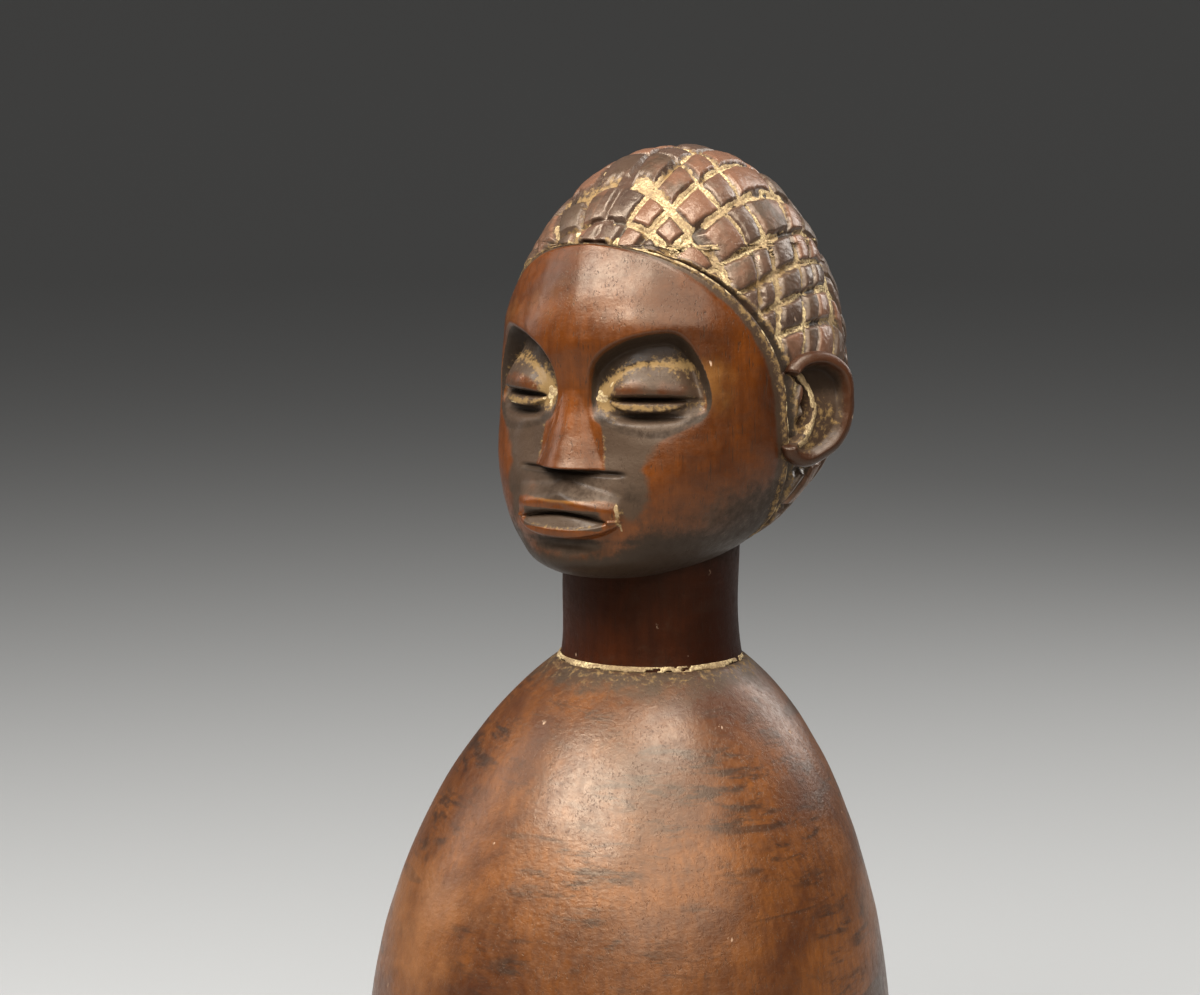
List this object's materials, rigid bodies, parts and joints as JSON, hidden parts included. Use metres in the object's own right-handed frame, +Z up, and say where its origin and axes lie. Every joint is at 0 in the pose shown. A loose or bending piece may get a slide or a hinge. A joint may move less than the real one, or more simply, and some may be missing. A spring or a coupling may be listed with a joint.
{
  "type": "carved wooden doll",
  "caption": "Armless carved hardwood doll with a bell-shaped body, round neck and a head with hair cut in squares; stands on its flat base.",
  "frame": {"origin": "centre of the flat base, on the surface that the doll stands on", "axes": "+Z up through the doll; the face looks along -Y; +X is the doll's own left"},
  "size_m": [0.1446, 0.1485, 0.3311],
  "materials": {
    "wood_red": "oiled and polished by handling, orange-brown",
    "wood_brown": "oiled, darker red-brown",
    "wood_dark": "grey-brown patina, rubbed on the high spots",
    "clay": "dry, chalky cream clay"
  },
  "bodies": {
    "root": {"body": "wood_red", "neck": "wood_brown", "face": "wood_red", "nose": "wood_red", "upper_lip": "wood_red", "lower_lip": "wood_red", "left_eye": "wood_dark", "right_eye": "wood_dark", "hair_cap": "wood_dark", "left_ear": "wood_brown", "right_ear": "wood_brown", "neck_clay": "clay", "hairline_clay": "clay", "left_ear_clay": "clay", "right_ear_clay": "clay"}
  },
  "joints": []
}
